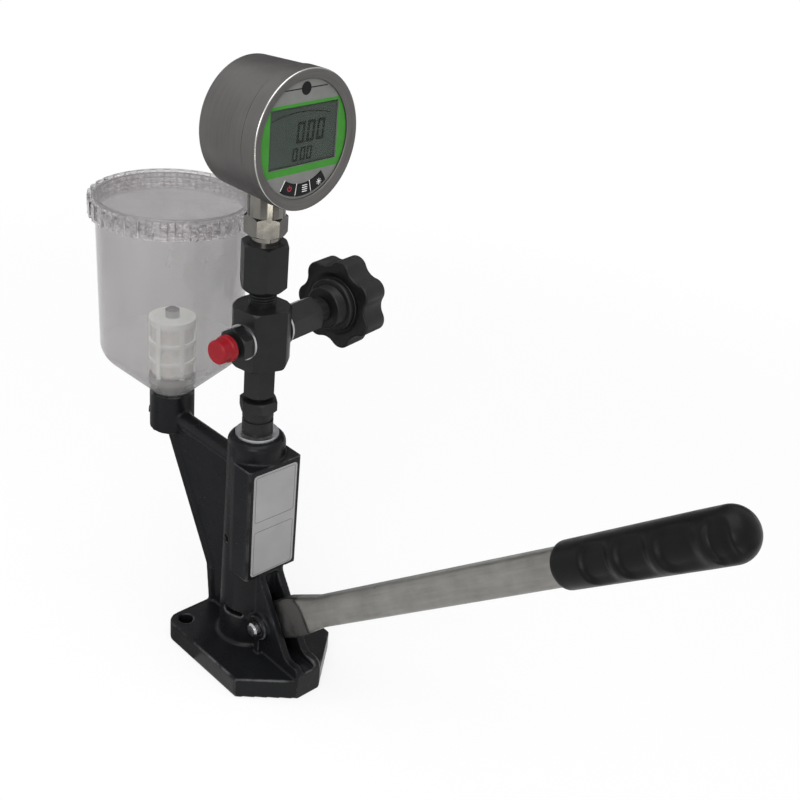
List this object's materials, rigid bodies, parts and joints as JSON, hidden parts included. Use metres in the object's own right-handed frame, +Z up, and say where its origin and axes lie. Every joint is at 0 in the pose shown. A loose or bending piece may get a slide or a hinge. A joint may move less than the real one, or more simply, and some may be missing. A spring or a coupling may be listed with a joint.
{
  "type": "hand-lever injector nozzle tester",
  "caption": "Hand-lever plunger pump on a cast stand for testing injector nozzles, with clear oil cup, shut-off valve, capped outlet and digital pressure gauge.",
  "frame": {"origin": "on the plunger axis at the underside of the base", "axes": "+Z up, +X towards the lever and the label, outlet at -Y, shut-off valve at +Y"},
  "size_m": [0.4908, 0.1457, 0.4108],
  "materials": {
    "cast_paint": "semi-gloss black enamel over a casting",
    "black_steel": "blackened turned steel, oiled",
    "ground_steel": "ground steel",
    "spring_steel": "drawn spring wire and pressed steel",
    "small_screws": "blackened screws",
    "washer_metal": "soft sealing washer",
    "bronze": "bearing bronze",
    "lever_zinc": "dull zinc plate with pits",
    "grip_rubber": "smooth black rubber",
    "seal_rubber": "matt black rubber",
    "knob_plastic": "moulded black plastic",
    "cap_plastic": "soft red plastic",
    "clear_plastic": "clear moulded plastic",
    "filter_plastic": "milky white plastic",
    "filter_gauze": "fine white gauze",
    "packing_white": "white packing rings",
    "nickel": "bright nickel plate",
    "stainless": "satin stainless steel",
    "face_film": "printed film, grey with a green band",
    "window": "clear window",
    "display": "dark grey-green liquid crystal display",
    "board": "green circuit board",
    "battery": "sleeved battery",
    "key_black": "black key with a plain sign",
    "label_white": "bare white sticker with a thin frame"
  },
  "bodies": {
    "stand": {"pump_body": "cast_paint", "delivery_valve_holder": "black_steel", "connector": "black_steel", "manifold_block": "black_steel", "outlet_union": "black_steel", "valve_body": "black_steel", "gauge_adapter": "black_steel", "pump_barrel": "ground_steel", "delivery_valve_seat": "ground_steel", "pivot_pin": "ground_steel", "cup_stud": "ground_steel", "filter_nut": "ground_steel", "plunger_spring": "spring_steel", "delivery_valve_spring": "spring_steel", "spring_washer": "spring_steel", "feed_plug": "small_screws", "bleed_screw": "small_screws", "holder_washer": "washer_metal", "outlet_washer": "washer_metal", "valve_washer": "washer_metal", "cup_seal_lower": "seal_rubber", "cup_seal_upper": "seal_rubber", "oil_cup": "clear_plastic", "filter_cage": "filter_plastic", "filter_mesh": "filter_gauze", "valve_packing": "packing_white", "gauge_stem": "nickel", "gauge_case": "stainless", "gauge_bezel": "stainless", "gauge_sensor": "stainless", "gauge_faceplate": "face_film", "gauge_window": "window", "gauge_display": "display", "gauge_circuit_board": "board", "gauge_battery": "battery", "label_plate": "label_white"},
    "lever": {"lever_bar": "lever_zinc", "lever_grip": "grip_rubber", "lever_bush": "bronze"},
    "plunger": {"plunger": "ground_steel", "tappet": "ground_steel", "spring_seat": "spring_steel"},
    "delivery_valve": {"delivery_valve": "bronze"},
    "needle": {"valve_needle": "ground_steel"},
    "knob": {"valve_spindle": "ground_steel", "star_knob": "knob_plastic", "knob_set_screw": "small_screws"},
    "lid": {"cup_lid": "clear_plastic"},
    "cap": {"outlet_cap": "cap_plastic"},
    "key_power": {"key_power": "key_black"},
    "key_units": {"key_units": "key_black"},
    "key_light": {"key_light": "key_black"}
  },
  "joints": [
    {"name": "lever_swing", "type": "hinge", "parent": "stand", "child": "lever", "pos_m": [0.025, 0, 0.036], "axis": [0, 1, 0], "range_deg": [0, 26], "stiffness_Nm_per_rad": 5, "springref_deg": -45.84},
    {"name": "plunger_slide", "type": "slide", "parent": "stand", "child": "plunger", "axis": [0, 0, 1], "range_m": [0, 0.0115], "deforming": ["plunger_spring"]},
    {"name": "delivery_valve_lift", "type": "slide", "parent": "stand", "child": "delivery_valve", "axis": [0, 0, 1], "range_m": [0, 0.0015], "stiffness_N_per_m": 2000, "springref_m": -0.002, "deforming": ["delivery_valve_spring"]},
    {"name": "needle_slide", "type": "slide", "parent": "stand", "child": "needle", "axis": [-0.165, 0.9863, 0], "range_m": [0, 0.002]},
    {"name": "knob_turn", "type": "hinge", "parent": "needle", "child": "knob", "pos_m": [0, 0, 0.2421], "axis": [-0.165, 0.9863, 0], "range_deg": [0, 720]},
    {"name": "lid_lift", "type": "slide", "parent": "stand", "child": "lid", "axis": [0, 0, 1], "range_m": [0, 0.06]},
    {"name": "cap_pull", "type": "slide", "parent": "stand", "child": "cap", "axis": [0.165, -0.9863, 0], "range_m": [0, 0.1]},
    {"name": "key_power_press", "type": "slide", "parent": "stand", "child": "key_power", "axis": [-0.9951, -0.0985, 0], "range_m": [0, 0.0005], "stiffness_N_per_m": 400, "springref_m": -0.0005},
    {"name": "key_units_press", "type": "slide", "parent": "stand", "child": "key_units", "axis": [-0.9951, -0.0985, 0], "range_m": [0, 0.0005], "stiffness_N_per_m": 400, "springref_m": -0.0005},
    {"name": "key_light_press", "type": "slide", "parent": "stand", "child": "key_light", "axis": [-0.9951, -0.0985, 0], "range_m": [0, 0.0005], "stiffness_N_per_m": 400, "springref_m": -0.0005}
  ],
  "couplings": [
    {"joint": "plunger_slide", "follows": "lever_swing", "m_per_rad": 0.025},
    {"joint": "knob_turn", "follows": "needle_slide", "rad_per_m": 6283.2}
  ]
}
